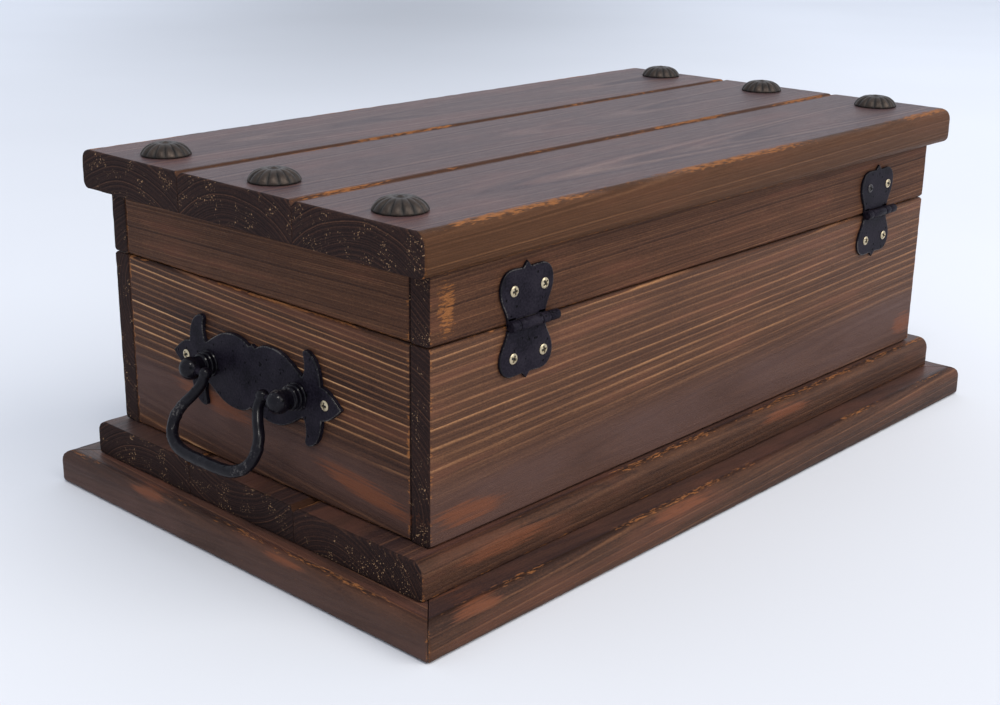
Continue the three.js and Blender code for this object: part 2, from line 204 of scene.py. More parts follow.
def growthRings(log, look):
    # pale late wood lines, one for each ring round the pith; the same rings as soft steps; faint
    # lines between them; how light each group of rings is
    wander = (log.stretched(420, 60, 60).speckle() - 0.5) * look["wander"]
    ripple = (log.stretched(90, 14, 14).speckle() - 0.5) * 0.9
    jitter = (log.stretched(9, 1.2, 1.2).speckle() - 0.5) * 0.28
    _, y, z = log.parts()
    radius = (y * y + z * z) ** 0.5 + wander + ripple + jitter
    turns = radius / look["ringGap"]
    ring = turns.maths("FLOOR", turns)
    phase = turns.maths("FRACT", turns)
    own = turns.node("ShaderNodeTexWhiteNoise", {"noise_dimensions": "1D"}, {"W": ring})
    line = phase.rise(0.52, 0.82) * (1 - phase.rise(0.84, 0.95))
    patchy = log.stretched(70, 3, 3).shifted(3.1, 0, 0).speckle().rise(0.28, 0.66)
    lines = line * (0.40 + 0.60 * own) * (0.30 + 0.70 * patchy)
    steps = phase.rise(0.0, 0.85) * (1 - phase.rise(0.85, 1.0))
    return lines, steps, (radius * 1.3).layers(2.0), (radius * 0.10).layers(1.0) + (own - 0.5) * 0.16


def bareWood(log, look, edges, raw):
    # where the stain is rubbed off: long edges, board ends and scratched spots
    longEdge, endEdge, endGrain = edges
    chips = log.stretched(5, 1.0, 1.0).speckle(3.0, 0.65)
    whereWorn = log.stretched(90, 40, 40).shifted(0, 0, 4.4).speckle().rise(0.38, 0.58)
    ragged = log.stretched(30, 7, 7).shifted(0, 2.2, 0).speckle(3.0, 0.6).rise(0.40, 0.60)
    edgeWearAndRimHighlight = (1 - longEdge.rise(0.2, look["rub"])) * (1 - endGrain) * whereWorn
    endRub = (1 - endEdge.rise(0.4, 3.4)) * (1 - endGrain) * ragged
    bare = (edgeWearAndRimHighlight * 0.9 + endRub * 0.95 + raw * 1.15) * look["worn"] + (chips - 0.5) * 1.8
    return bare.rise(0.38, 0.66)


def endFlecks(log, endGrain):  # pale torn fibres in clusters on the cut ends
    cluster = log.stretched(40, 9, 9).shifted(9, 0, 0).speckle().rise(0.50, 0.60)
    return log.stretched(0.9, 0.8, 0.8).speckle(1.0).rise(0.64, 0.71) * cluster * endGrain


def timber(name, look, sawn=False):
    # sawn: the cut ends of the boards, matt and dark
    constants = {"Specular IOR Level": sawnShine if sawn else look["shine"], "Coat Roughness": topRoughness}
    material, nodes, shader = newFinish(name + "_finish", constants)
    log = fieldOf(nodes, "log", "Vector")
    edges = fieldOf(nodes, "edges", "Vector").parts()
    longEdge, _, endGrain = edges
    raw, ember, cut, onTop, seam = (
        fieldOf(nodes, field) for field in ("raw", "ember", "cut", "onTop", "seam"))

    lines, steps, fine, bands = growthRings(log, look)
    steep = cut.rise(0.22, 0.62)  # rings that meet the face at a shallow angle leave it smooth
    lines = lines * steep
    fibre = log.stretched(14, 0.30, 0.30).speckle(4.0, 0.68) - 0.5
    streak = log.stretched(80, 1.5, 1.5).speckle(3.0, 0.6) - 0.5
    clouds = log.stretched(70, 26, 26).shifted(5.0, 1.0, 0).speckle(3.0) - 0.5
    pores = log.stretched(1.1, 0.55, 0.55).speckle(2.0, 0.7) - 0.5
    bare = bareWood(log, look, edges, raw)
    soot = (1 - longEdge.rise(0.0, 1.0)) * (1 - bare)

    tone = look["tone"] + look["lines"] * lines * (1 - 0.55 * endGrain) + look["fibre"] * fibre
    tone = tone + look["bands"] * bands * 2 + look["fine"] * fine + 0.13 * streak + 0.18 * clouds
    tone = tone + (0.32 + 0.24 * endGrain) * pores + (0.12 * steps - 0.22) * endGrain - 0.12 * soot

    redness = (clouds + bands * 0.8).rise(0.02, 0.22) * 0.35 * (1 - endGrain)
    glow = (ember + streak * 1.6 + fibre * 1.1).rise(0.42, 1.05)
    stain = tone.ramp(stainRamp)
    for colour, amount in (
            ("red", redness),
            ("smooth", (1 - steep) * (1 - onTop) * (0.55 + clouds * 1.2)),
            # painted reflection: a violet tint on the upward faces stands in for the sky's sheen
            ("paintedSkyTint", look["paintedSkyTint"] * onTop),
            ("sides", look["sides"] * (1 - onTop) * (1 - endGrain)),
            ("endGrain", endGrain * 0.40),
            ("groove", seam * 0.85),
            ("ember", glow * 0.75),
            ("bare", bare * (0.62 + fibre * 0.8 + pores * 0.8)),
            ("fleck", endFlecks(log, endGrain) * 0.85)):
        stain = stain.mixed(stainColours[colour], amount)

    rough = look["roughness"] - 0.30 * fibre + 0.14 * bare + 0.30 * endGrain - 0.06 * lines - 0.25 * fine
    height = lines * 0.5 + fibre * 1.0 + fine * 0.5 - bare * 0.8 + streak * 0.4
    sheen = look["sheen"] * onTop * (1 - seam) * (1 - bare) * (1 + 1.6 * fibre + 0.9 * pores - 0.5 * lines)
    bump = height.bumped(0.5, 0.0006)
    wire(nodes, shader, Base_Color=stain, Roughness=rough, Coat_Weight=sheen, Normal=bump)
    return material


# black iron: grain and cloud sizes in metres, pits per metre; the pale rim colour is a painted highlight
ironLook = {"shine": 0.04, "coatRoughness": 0.15, "coat": 0.26, "grit": 0.0011, "bloom": 0.012, "pits": 240.0,
            "ramp": [(0.0, (0.0042, 0.0034, 0.0058)), (0.5, (0.0110, 0.0090, 0.0145)),
                     (1.0, (0.0190, 0.0160, 0.0225))],
            "polished": (0.0022, 0.0018, 0.0032), "pitted": (0.0022, 0.0022, 0.003),
            "edgeWearAndRimHighlight": (0.085, 0.078, 0.075)}


def blackIron():
    d = ironLook
    constants = {"Specular IOR Level": d["shine"], "Coat Roughness": d["coatRoughness"]}
    material, nodes, shader = newFinish("black_iron_finish", constants)
    place = onPiece(nodes)
    grit = place.stretched(d["grit"], d["grit"], d["grit"]).speckle(3.0, 0.6) - 0.5
    bloom = place.stretched(d["bloom"], d["bloom"], d["bloom"]).speckle() - 0.5
    cells = nodes.node(
        "ShaderNodeTexVoronoi", {"feature": "F1"}, {"Vector": place, "Scale": d["pits"]}, "Distance")
    pits = 1 - cells.rise(0.10, 0.20)
    rim = fieldOf(nodes, "rim")
    base = (0.5 + bloom * 1.8 + grit * 2.2).ramp(d["ramp"])
    base = base.mixed(d["polished"], rim.rise(0.4, 0.7) * 0.7)
    base = base.mixed(d["pitted"], pits * 0.9)
    # painted highlight: a paler grey on the plates' bevelled rims stands in for their edge highlights
    base = base.mixed(d["edgeWearAndRimHighlight"], (rim + grit * 1.2 + bloom * 1.6).rise(0.95, 1.20) * 0.7)
    rough = 0.42 + bloom * 0.30 + grit * 0.20 + pits * 0.2
    polish = rim.rise(0.2, 0.9) * d["coat"] * (1 - 0.6 * pits)
    bump = (bloom * 0.8 + grit * 0.5 - pits * 1.3).bumped(0.7, 0.0003)
    wire(nodes, shader, Base_Color=base, Roughness=rough, Coat_Weight=polish, Normal=bump)
    return material


nailLook = {"shine": 0.34, "grit": 0.0009, "bloom": 0.005,
            "ramp": [(0.0, (0.006, 0.005, 0.0045)), (0.5, (0.044, 0.031, 0.024)),
                     (1.0, (0.150, 0.112, 0.086))]}


def nailBronze():
    d = nailLook
    material, nodes, shader = newFinish("nail_bronze_finish", {"Specular IOR Level": d["shine"]})
    place = onPiece(nodes)
    grit = place.stretched(d["grit"], d["grit"], d["grit"]).speckle(3.0, 0.6) - 0.5
    bloom = place.stretched(d["bloom"], d["bloom"], d["bloom"]).speckle() - 0.5
    crest = fieldOf(nodes, "rim")
    base = (0.02 + 0.42 * crest + bloom * 0.6 + grit * 0.6).ramp(d["ramp"])
    rough = 0.42 + grit * 0.25 + 0.2 * (1 - crest)
    metal = 0.20 + 0.35 * crest
    bump = (grit + bloom).bumped(0.35, 0.0002)
    wire(nodes, shader, Base_Color=base, Roughness=rough, Metallic=metal, Normal=bump)
    return material


# screws: colours in the recess, darkened there as painted shade, in the shallows and on the crown
screwLooks = {"screw_brass": ((0.008, 0.007, 0.006), (0.20, 0.16, 0.10), (0.50, 0.42, 0.28)),
              "screw_dark": ((0.008, 0.007, 0.006), (0.030, 0.028, 0.030), (0.060, 0.055, 0.055))}
screwGrit = 0.0006


def screwMetal(name, colours):
    material, nodes, shader = newFinish(name + "_finish", {"Specular IOR Level": 0.5})
    grit = onPiece(nodes).stretched(screwGrit, screwGrit, screwGrit).speckle() - 0.5
    crest = fieldOf(nodes, "rim")
    # painted shade: near black in the cross recess and darker round the head's foot
    base = (crest + grit * 0.4).ramp(list(zip((0.0, 0.55, 1.0), colours)))
    rough = 0.30 + grit * 0.25 + 0.3 * (1 - crest)
    metal = 0.15 + 0.6 * crest
    wire(nodes, shader, Base_Color=base, Roughness=rough, Metallic=metal, Normal=grit.bumped(0.2, 0.0001))
    return material


finishes = {name: timber(name, look) for name, look in timberLooks.items()}
finishes["sawn_end"] = timber("sawn_end", timberLooks["lid_timber"], True)
finishes["black_iron"] = blackIron()
finishes["nail_bronze"] = nailBronze()
for name, colours in screwLooks.items():
    finishes[name] = screwMetal(name, colours)
print("finishes made:", len(finishes))


# Piece from points in millimetres; it rides on a body and stands for CAD solids.
def addPiece(name, points, faces, slot, body, nodes, values=None, finish=None, sawn=None):
    mesh = bpy.data.meshes.new(name)
    mesh.from_pydata((np.asarray(points, float) * mm).tolist(), [], [list(face) for face in faces])
    mesh.shade_smooth()
    mesh.set_sharp_from_angle(angle=math.radians(38))
    for label, data in (values or {}).items():
        data = np.asarray(data, np.float32)
        kind = "FLOAT_VECTOR" if data.ndim == 2 else "FLOAT"
        field = "vector" if data.ndim == 2 else "value"
        mesh.attributes.new(label, kind, "POINT").data.foreach_set(field, data.ravel())
    mesh.materials.append(finishes[finish or slot])
    if sawn is not None:
        mesh.materials.append(finishes["sawn_end"])
        mesh.polygons.foreach_set("material_index", sawn)
    piece = bpy.data.objects.new(name, mesh)
    bpy.context.scene.collection.objects.link(piece)
    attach(piece, body)
    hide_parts(*nodes)
    return piece


# Boards. Each is a grid over its box, with the same index for a point on two faces that meet.
def boxGrid(steps):
    across, up, along = steps
    size = (across + 1, up + 1, along + 1)
    quads = []
    for axis in range(3):
        first, second = [other for other in range(3) if other != axis]
        a, b = np.meshgrid(np.arange(steps[first]), np.arange(steps[second]), indexing="ij")
        for end in (0, steps[axis]):
            corners = []
            for da, db in ((0, 0), (1, 0), (1, 1), (0, 1)):
                index = [None] * 3
                index[axis] = np.full(a.shape, end)
                index[first], index[second] = a + da, b + db
                corners.append(np.ravel_multi_index(index, size).ravel())
            flip = (end == 0) != (axis == 1)
            quads.append(np.stack(corners[::-1] if flip else corners, 1))
    quads = np.concatenate(quads)
    used, faces = np.unique(quads, return_inverse=True)
    return np.unravel_index(used, size), faces.reshape(quads.shape)


def arcSteps(radius):  # distances from an edge that follow a quarter round
    return [radius * (1 - math.cos(math.radians(angle))) for angle in (0, 18, 36, 54, 72, 90)]


def spread(length, lowSteps, highSteps, pitch):
    # distances from one face to the other, close together where the edges are rounded
    closest = 0.09
    low, high = sorted(set(lowSteps)), sorted(set(highSteps))
    count = max(1, round((length - low[-1] - high[-1]) / pitch))
    middle = np.linspace(low[-1], length - high[-1], count + 1)
    every = sorted([*low, *middle[1:-1], *(length - step for step in high)])
    kept = [every[0]]
    for place in every[1:-1]:
        if place - kept[-1] > closest:
            kept.append(place)
    return np.array([*kept, every[-1]])


def inset(gap, radius, chamfered):
    # how far a face stands back at this distance from the rounded or chamfered edge
    gap = np.clip(gap, 0, radius)
    if chamfered:
        return radius - gap
    return radius - np.sqrt(radius**2 - (radius - gap) ** 2)


def sideInset(height, fromTop, lowEdge, topEdge):
    return np.maximum(inset(height, *lowEdge), inset(fromTop, *topEdge))


def roundCorner(p, s, limit, sign, over, endOver, corner):
    # upright corner, rounded in plan
    size = np.hypot(over, endOver)
    outside = (over > 0) & (endOver > 0) & (size > corner)
    scale = np.where(outside, corner / np.maximum(size, 1e-9), 1)
    p = np.where(outside, limit + sign * over * scale, p)
    s = np.where(outside, np.sign(s) * (np.abs(s) - endOver * (1 - scale)), s)
    return p, s


def bruises(s, p, z, gaps, seed):
    # small hollows where two faces meet
    nearEdge = np.exp(-np.maximum(np.sort(gaps, 0)[1], 0) / 1.8)
    spots = [noise.noise((a * 0.19 + seed, b * 0.25, c * 0.25)) for a, b, c in zip(s, p, z)]
    return boardDesign["bruise"] * nearEdge * np.clip(np.array(spots) + 0.25, 0, 1)


def patches(marks, kind, s, z):
    shown = np.zeros(len(s))
    for markKind, (along, up), (halfAlong, halfUp), slope in marks:
        if markKind == kind:
            away = np.hypot((s - along) / halfAlong, (z - up - slope * (s - along)) / halfUp)
            shown = np.maximum(shown, np.clip(1.6 - away, 0, 1))
    return shown


# bruise: depth of the dents, the pitches: how finely each way is divided
boardDesign = {"bruise": 0.2, "upPitch": 3.5, "acrossPitch": 4.5, "alongPitch": 3.6, "grooveStain": 2.2}


# edges: (radius, chamfered) at the inner low, outer low, outer top and inner top edge; ends: radii at
# the low and top end edges. rounded: whether the inner and outer upright corners are. In here s runs
# along the board, p across it away from the chest's middle, and z up.
def makeBoard(node, body, slot, turn, edges, ends, log, corner, rounded=(True, True), mitre=0):
    d = boardDesign
    cosine, sine = ((1, 0), (0, 1), (-1, 0), (0, -1))[turn]
    low, high = (np.array(place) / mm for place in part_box(node))
    alongs = sorted((cosine * low[0] + sine * low[1], cosine * high[0] + sine * high[1]))
    inner, outer = sorted((cosine * low[1] - sine * low[0], cosine * high[1] - sine * high[0]))
    bottom, top = low[2], high[2]
    halfLength = (alongs[1] - alongs[0]) / 2
    width, thick = outer - inner, top - bottom
    innerLow, outerLow, outerTop, innerTop = edges
    endLow, endTop = ends

    upSteps = spread(thick, [s for r in (innerLow[0], outerLow[0], endLow) for s in arcSteps(r)],
                     [s for r in (innerTop[0], outerTop[0], endTop) for s in arcSteps(r)], d["upPitch"])
    cornerSteps = [0, corner * 0.3, corner * 0.65, corner, corner * 2]
    acrossSteps = spread(width, cornerSteps, cornerSteps, d["acrossPitch"])
    alongSteps = spread(2 * halfLength, cornerSteps, cornerSteps, d["alongPitch"])
    (i, k, j), faces = boxGrid((len(acrossSteps) - 1, len(upSteps) - 1, len(alongSteps) - 1))

    height = upSteps[k]
    fromTop = thick - height
    innerFace = inner + sideInset(height, fromTop, innerLow, innerTop)
    outerFace = outer - sideInset(height, fromTop, outerLow, outerTop)
    p = innerFace + (outerFace - innerFace) * acrossSteps[i] / width
    reach = halfLength - np.maximum(inset(height, endLow, False), inset(fromTop, endTop, False))
    if mitre:
        reach = halfLength - (outer - p) - mitre
    s = reach * (2 * alongSteps[j] / (2 * halfLength) - 1)
    for far, sign, wanted in ((outerFace, 1, rounded[1]), (innerFace, -1, rounded[0])):
        if wanted:
            limit = far - sign * corner
            endOver = np.abs(s) - (halfLength if mitre else reach) + corner
            p, s = roundCorner(p, s, limit, sign, sign * (p - limit), endOver, corner)

    gaps = np.stack([np.minimum(acrossSteps[i], width - acrossSteps[i]), np.minimum(height, fromTop)])
    endGap = np.maximum(halfLength - np.abs(s), 0)
    onEnd = np.zeros(len(s)) if mitre else ((j == 0) | (j == len(alongSteps) - 1)) * 1.0
    z = bottom + height
    depth = bruises(s, p, z, np.stack([*gaps, endGap]), log["seed"])
    p = p + depth * np.sign((inner + outer) / 2 - p)
    z = z + depth * np.sign((bottom + top) / 2 - z)
    s = s - depth * np.sign(s) * (endGap < 6)

    pithAcross, pithUp = log["pith"]
    fromPith = np.stack([
        s + 731 * log["seed"],
        p - (outer + pithAcross) + log["tilt"][0] * s,
        z - pithUp + log["tilt"][1] * s,
    ], 1)
    onTop = (gaps[1] <= gaps[0]) * (1 - onEnd)  # looks up or down
    farOff = np.maximum(np.hypot(fromPith[:, 1], fromPith[:, 2]), 1)
    cut = np.where(onTop > 0, np.abs(fromPith[:, 1]), np.abs(fromPith[:, 2])) / farOff
    cut[onEnd > 0] = 1
    seamGap = np.minimum(acrossSteps[i] + 99 * rounded[0], width - acrossSteps[i] + 99 * rounded[1])
    marks = boardMarks.get(node, ())
    values = {
        "log": fromPith,
        "edges": np.stack([np.max(gaps, 0) - np.min(gaps, 0) * 0.6, endGap, onEnd], 1),
        "raw": patches(marks, "raw", s, z),
        "ember": patches(marks, "ember", s, z),
        "cut": cut,  # how steeply the growth rings meet the face
        "onTop": onTop * 1.0,
        "seam": np.clip((d["grooveStain"] - seamGap) / 0.7, 0, 1) * (1 - onEnd),
    }
    points = np.stack([cosine * s - sine * p, sine * s + cosine * p, z], 1)
    sawn = np.min(onEnd[faces], 1).astype(np.int32)
    addPiece("timber_" + node, points, faces, slot, body, [node], values, log.get("look"), sawn)


square, eased, groove = (0.5, False), (1.2, True), (2.2, True)
turns = {"back": 0, "left_end": 1, "front": 2, "right_end": 3}

# pith: where the middle of the tree lies, out from the outer face and up from the ground
boardLogs = {
    "wall_back": {"pith": (-34, 50), "tilt": (0.012, 0.020), "seed": 1.3},
    "wall_front": {"pith": (-38, 105), "tilt": (-0.010, 0.015), "seed": 2.1},
    "wall_right_end": {"pith": (-30, 56), "tilt": (0.015, -0.050), "seed": 3.7, "look": "end_timber"},
    "wall_left_end": {"pith": (-36, 98), "tilt": (0.010, 0.030), "seed": 4.9, "look": "end_timber"},
    "lid_rail_back": {"pith": (-70, 60), "tilt": (0.01, 0.015), "seed": 5.2, "look": "rail_timber"},
    "lid_rail_front": {"pith": (-60, 70), "tilt": (0.01, -0.01), "seed": 6.4, "look": "rail_timber"},
    "lid_rail_right_end": {"pith": (-60, 50), "tilt": (-0.01, 0.02), "seed": 7.5, "look": "rail_timber"},
    "lid_rail_left_end": {"pith": (-50, 80), "tilt": (0.01, -0.02), "seed": 8.1, "look": "rail_timber"},
    "floor_board_front": {"pith": (-30, -25), "tilt": (0.02, 0.02), "seed": 11.1},
    "floor_board_middle": {"pith": (-50, 80), "tilt": (-0.01, 0.01), "seed": 12.6},
    "floor_board_back": {"pith": (-52, -14), "tilt": (0.02, -0.015), "seed": 13.4},
    "lid_board_front": {"pith": (-40, 110), "tilt": (0.01, 0.01), "seed": 14.8},
    "lid_board_middle": {"pith": (-44, 116), "tilt": (-0.012, 0.008), "seed": 15.3},
    "lid_board_back": {"pith": (-36, 120), "tilt": (0.012, 0.01), "seed": 16.7},
}

# scratched raw wood and ember coloured patches: along the board, height, half their size, slope
boardMarks = {
    "lid_rail_back": [("raw", (201, 144), (5, 13), 0)],
    "wall_back": [("ember", (186, 47), (22, 5.5), 0.05), ("ember", (-201, 50), (12, 7), 0),
                  ("raw", (138, 79), (0.9, 2.2), 0)],
    "wall_right_end": [("ember", (-74, 52), (34, 5.5), 0.16), ("ember", (36, 66), (32, 5), 0.12)],
    "floor_board_back": [("ember", (170, 29), (30, 4), 0), ("ember", (-60, 30), (24, 4), 0)],
    "plinth_right_end": [("ember", (62, 16), (14, 2), 0), ("ember", (-44, 15), (16, 2), 0)],
    "plinth_back": [("ember", (206, 15), (16, 3), 0), ("ember", (60, 14), (26, 3), 0)],
}


def makeWalls():
    for prefix, body in (("wall", "body"), ("lid_rail", "lid")):
        for place, turn in turns.items():
            node = f"{prefix}_{place}"
            makeBoard(node, body, "wall_timber", turn, [square, eased, eased, square], (0.6, 0.6),
                      boardLogs[node], 1.0)


def makeRow(prefix, body, slot, low, top, ends):
    # three boards side by side, with grooves where they meet
    for place in ("front", "middle", "back"):
        first, last = place == "front", place == "back"
        edges = [low if first else square, low if last else square,
                 top if last else groove, top if first else groove]
        node = f"{prefix}_{place}"
        makeBoard(node, body, slot, 0, edges, ends, boardLogs[node], 2.2, (first, last))


def makePlinth():
    edges = [square, (2.5, False), (6, False), square]
    for place, turn in turns.items():
        log = {"pith": (-20 - 9 * turn, -30 + 8 * turn), "tilt": (0.02, 0.012), "seed": 20.3 + turn}
        makeBoard(f"plinth_{place}", "body", "plinth_timber", turn, edges, (0.5, 0.5), log, 2.0,
                  (False, True), mitre=0.15)


makePlinth()
makeRow("floor_board", "body", "floor_timber", square, (6, False), (0.5, 1.2))
makeWalls()
makeRow("lid_board", "lid", "lid_timber", (4, False), (6, False), (0.5, 1.2))
print("boards made")


# Turned and cast shapes. Quads between neighbouring rings of the same number of points:
def ringFaces(rings, sides, start=0):
    faces = []
    for ring in range(rings - 1):
        for side in range(sides):
            following = (side + 1) % sides
            a, b = start + ring * sides, start + (ring + 1) * sides
            faces.append([a + side, a + following, b + following, b + side])
    return faces


def turned(profile, sides):
    # closed solid of revolution about Z from (radius, height) points; both ends are on the axis
    points = [(0, 0, profile[0][1])]
    for radius, height in profile[1:-1]:
        for side in range(sides):
            angle = 2 * math.pi * side / sides
            points.append((radius * math.cos(angle), radius * math.sin(angle), height))
    points.append((0, 0, profile[-1][1]))
    rings = len(profile) - 2
    faces = ringFaces(rings, sides, 1)
    last = 1 + (rings - 1) * sides
    for side in range(sides):
        following = (side + 1) % sides
        faces.append([0, 1 + following, 1 + side])
        faces.append([last + side, last + following, len(points) - 1])
    return np.array(points, float), faces


def joinShapes(shapes):
    points, faces, values, start = [], [], [], 0
    for shape in shapes:
        points.append(shape[0])
        faces += [[index + start for index in face] for face in shape[1]]
        values.append(shape[2] if len(shape) > 2 else np.zeros(len(shape[0])))
        start += len(shape[0])
    return np.concatenate(points), faces, np.concatenate(values)


def castPlate(outline, thickness, bevel):
    # plate along Z from 0 to thickness with a softened front edge; outline runs anticlockwise
    outline = np.array(outline, float)
    forward = np.roll(outline, -1, 0) - outline
    forward /= np.linalg.norm(forward, axis=1)[:, None]
    backward = np.roll(forward, 1, 0)
    inward = np.stack([-(forward + backward)[:, 1], (forward + backward)[:, 0]], 1)
    inward /= np.maximum(np.linalg.norm(inward, axis=1), 1e-6)[:, None]
    rings = [(0.2, 0, 0), (0, 0, 0), (0, thickness - bevel, 0.6)]
    for angle in (22, 45, 68, 90):
        a = math.radians(angle)
        rings.append((bevel * (1 - math.cos(a)), thickness - bevel + bevel * math.sin(a), 1.0))
    rings.append((bevel + 0.25, thickness, 0.0))
    points = [np.column_stack([outline + inward * back, np.full(len(outline), up)])
              for back, up, _ in rings]
    sides = len(outline)
    faces = ringFaces(len(rings), sides)
    faces.append(list(range(sides))[::-1])
    faces.append([(len(rings) - 1) * sides + side for side in range(sides)])
    rim = np.repeat([amount for _, _, amount in rings], sides)
    return np.concatenate(points), faces, rim


def bezier(start, first, second, end, steps):
    t = np.linspace(0, 1, steps + 1)[1:, None]
    start, first, second, end = (np.array(point, float) for point in (start, first, second, end))
    return ((1 - t) ** 3 * start + 3 * (1 - t) ** 2 * t * first
            + 3 * (1 - t) * t**2 * second + t**3 * end).tolist()


def barrel(radius, start, end, sides=28):
    # knuckle or pin along X with softened ends
    soft = 0.35
    profile = [(0, start), (radius - soft, start), (radius - soft * 0.3, start + soft * 0.3),
               (radius, start + soft), (radius, end - soft), (radius - soft * 0.3, end - soft * 0.3),
               (radius - soft, end), (0, end)]
    points, faces = turned(profile, sides)
    return points[:, [2, 0, 1]], faces, np.full(len(points), 0.25)


screwDesign = {"radius": 2.55, "dome": 0.95, "slotWidth": 0.50, "slotReach": 1.75, "slotDepth": 0.85,
               "flat": 2.0, "roundness": 0.93, "sides": 48}


def screwHead(turnedBy):
    # domed head with a cross recess; second result is 1 on the bright crown and 0 in the recess
    d = screwDesign
    sides = d["sides"]
    radii = np.concatenate([np.linspace(0, d["flat"], 17)[1:], np.linspace(d["flat"], d["radius"], 6)[1:]])
    c, s = math.cos(turnedBy), math.sin(turnedBy)
    points, crest = [(0, 0, d["dome"] - d["slotDepth"])], [0.0]
    for radius in radii:
        for side in range(sides):
            angle = 2 * math.pi * side / sides
            x, y = radius * math.cos(angle), radius * math.sin(angle)
            near, far = sorted((abs(x), abs(y)))
            slot = np.clip((d["slotWidth"] + 0.12 - near) / 0.2, 0, 1)
            slot *= np.clip((d["slotReach"] - far) / 0.3, 0, 1)
            crown = d["dome"] * math.sqrt(max(0, 1 - d["roundness"] * (radius / d["radius"]) ** 2))
            points.append((c * x - s * y, s * x + c * y, crown - d["slotDepth"] * slot))
            crest.append(1.0 - slot)
    rings = len(radii)
    faces = [[0, 1 + side, 1 + (side + 1) % sides] for side in range(sides)]
    faces += [face[::-1] for face in ringFaces(rings, sides, 1)]
    rim = [(x, y, 0.0) for x, y, _ in points[-sides:]]
    start = len(points)
    points += rim
    # painted shade: the head's foot, where it meets the plate, gets a darker value
    crest += [0.2] * sides
    faces += [[start - sides + side, start + side, start + (side + 1) % sides,
               start - sides + (side + 1) % sides] for side in range(sides)]
    faces.append([start + side for side in range(sides)][::-1])
    return np.array(points), faces, np.array(crest)


def addScrew(node, body, place, axes, turnedBy, finish="screw_brass"):
    points, faces, crest = screwHead(turnedBy)
    world = np.array(place) + points @ np.array(axes, float)
    return addPiece("fixing_" + node, world, faces, "screw_brass", body, [node], {"rim": crest}, finish)


# neck and middle: half the hinge's and half the middle knuckle's length along the pin
hingeDesign = {"leaf": 1.2, "knuckle": 2.5, "pin": 1.1, "neck": 12.4, "middle": 7.3, "gap": 0.3, "head": 6.3,
               "screwX": 10.0, "screwShift": -1.2, "screwZ": 15.5, "bevel": 0.45, "web": (-0.2, 3.6),
               "reach": {"lid": 28.0, "body": 26.4}}


def leafOutline(reach):
    # drawn 28 high from the pin, then fitted to this leaf's reach above the 3 at its neck
    neck, drawn = 3.0, 28.0
    half = [(12.4, 2.2)]
    half += bezier((12.4, 3.0), (14.0, 8.2), (17.6, 11.6), (17.4, 17.2), 12)
    half += bezier((17.4, 17.2), (17.2, 22.4), (13.9, 25.5), (9.2, 25.5), 12)
    half += bezier((9.2, 25.5), (6.2, 25.5), (3.2, 25.0), (2.4, 25.3), 6)
    half += [(1.2, 26.7), (0, drawn)]
    half = [(x, neck + (y - neck) * (reach - neck) / (drawn - neck)) for x, y in half]
    return half + [(-x, y) for x, y in reversed(half[:-1])]


def hingeFrame(end):
    low, high = (np.array(place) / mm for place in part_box(f"hinge_{end}_lid_leaf"))
    pinLow, pinHigh = (np.array(place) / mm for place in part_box(f"hinge_{end}_pin"))
    return np.array([(low[0] + high[0]) / 2, *((pinLow + pinHigh) / 2)[1:]])


def makeHinge(end):
    d = hingeDesign
    centre = hingeFrame(end)
    spans = {"lid": [(d["middle"], d["neck"]), (-d["neck"], -d["middle"])],
             "body": [(-d["middle"] + d["gap"], d["middle"] - d["gap"])]}
    for half, up in (("lid", 1), ("body", -1)):
        points, faces, rim = castPlate(leafOutline(d["reach"][half]), d["leaf"], d["bevel"])
        # drawn with X across and Y up; stood against the chest's back with its face outwards
        plate = np.stack([-points[:, 0], points[:, 2] - d["knuckle"], points[:, 1]], 1)
        shapes = [(plate, faces, rim)]
        for start, finish in spans[half]:
            shapes.append(barrel(d["knuckle"], start, finish))
            low, high = d["web"]
            points, faces, rim = castPlate(
                [(start, low), (finish, low), (finish, high), (start, high)], d["leaf"], 0.3)
            web = np.stack([-points[:, 0], points[:, 2] - d["knuckle"], points[:, 1]], 1)
            web[:, 0] += start + finish
            shapes.append((web, faces, rim * 0))
        points, faces, rim = joinShapes(shapes)
        if up < 0:
            points[:, [0, 2]] *= -1
        node = f"hinge_{end}_{half}_leaf"
        body = "lid" if half == "lid" else "body"
        addPiece("iron_" + node, points + centre, faces, "black_iron", body, [node], {"rim": rim})
        for side, x in (("right", d["screwShift"] + d["screwX"]), ("left", d["screwShift"] - d["screwX"])):
            name = f"hinge_{end}_{half}_screw_{side}"
            dark = name == "hinge_left_lid_screw_right"
            place = centre + (x, d["leaf"] - d["knuckle"], up * d["screwZ"])
            spin = noise.noise((centre[0] + x * 3.1, up * 7.7, 2.5)) * 3
            addScrew(name, body, place, [(1, 0, 0), (0, 0, -1), (0, 1, 0)], spin,
                     "screw_dark" if dark else "screw_brass")
    shaft = barrel(d["pin"], -d["neck"] - 1, d["neck"] - 0.2, 20)
    headStart = -d["neck"] - d["gap"]
    head = barrel(d["knuckle"] - 0.1, headStart - d["head"], headStart, 28)
    points, faces, rim = joinShapes([shaft, head])
    node = f"hinge_{end}_pin"
    addPiece("iron_" + node, points + centre, faces, "black_iron", "body", [node], {"rim": rim})


for end in ("right", "left"):
    makeHinge(end)
print("hinges made")

# postY, screwY: out from the plate's middle. tubeTop, tubeLow: the bail's radius at its ends and foot.
# elbow, pinEnd: where its side pins start and stop. lean: how far it stands out, degrees.
handleDesign = {"plate": 2.0, "bevel": 0.55, "postY": 33.0, "screwY": 51.8, "ball": 5.7, "stem": 4.9,
                "rings": (6.8, 6.5, 6.0), "ringPitch": 2.2, "ringWidth": 1.4, "tubeTop": 2.6, "tubeLow": 3.05,
                "elbow": 21.6, "pinEnd": 31.6, "bead": 3.2, "pin": 1.6, "pinGap": 0.3, "lean": 29,
                "hammer": 0.5, "ringZ": -23.5, "ringRise": 0.3, "ironRim": 0.75}


